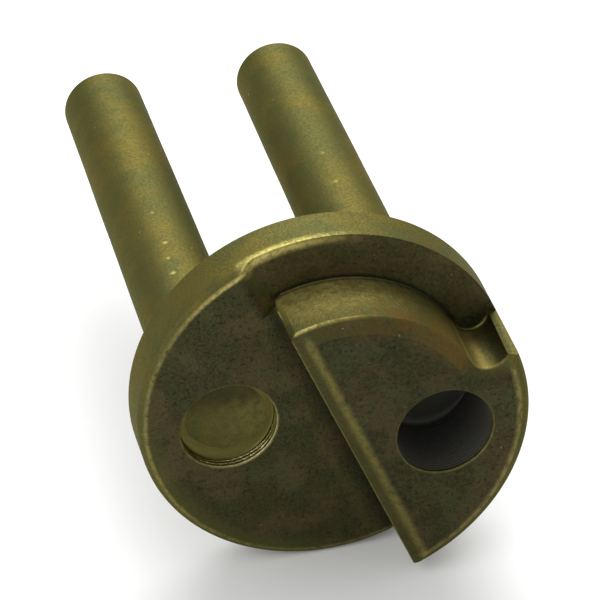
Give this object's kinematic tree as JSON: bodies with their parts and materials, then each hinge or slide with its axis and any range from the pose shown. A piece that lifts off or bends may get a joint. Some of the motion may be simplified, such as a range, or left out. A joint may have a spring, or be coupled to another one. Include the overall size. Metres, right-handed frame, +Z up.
{
  "type": "electrode holder",
  "caption": "Round metal head with a raised half-disc block, a milled crescent ledge and an electrode socket, carried on two long parallel round pins.",
  "frame": {"origin": "centre of the head's flat back face, where the pins leave it", "axes": "+X along the line of the two pins towards the raised block, +Y along the pins away from the working face, +Z up, square to the pins' line"},
  "size_m": [0.0318, 0.0592, 0.0318],
  "materials": {
    "head_brass": "cast and machined brass with a dark olive-brown tarnish, brighter on worn edges",
    "pin_brass": "drawn brass rod with an olive tarnish, lightly mottled, a few bright nicks",
    "braze_alloy": "bright brazing alloy, slightly uneven"
  },
  "bodies": {
    "root": {"head": "head_brass", "pin_left": "pin_brass", "pin_right": "pin_brass", "braze_ring_left": "braze_alloy", "braze_ring_right": "braze_alloy"}
  },
  "joints": []
}
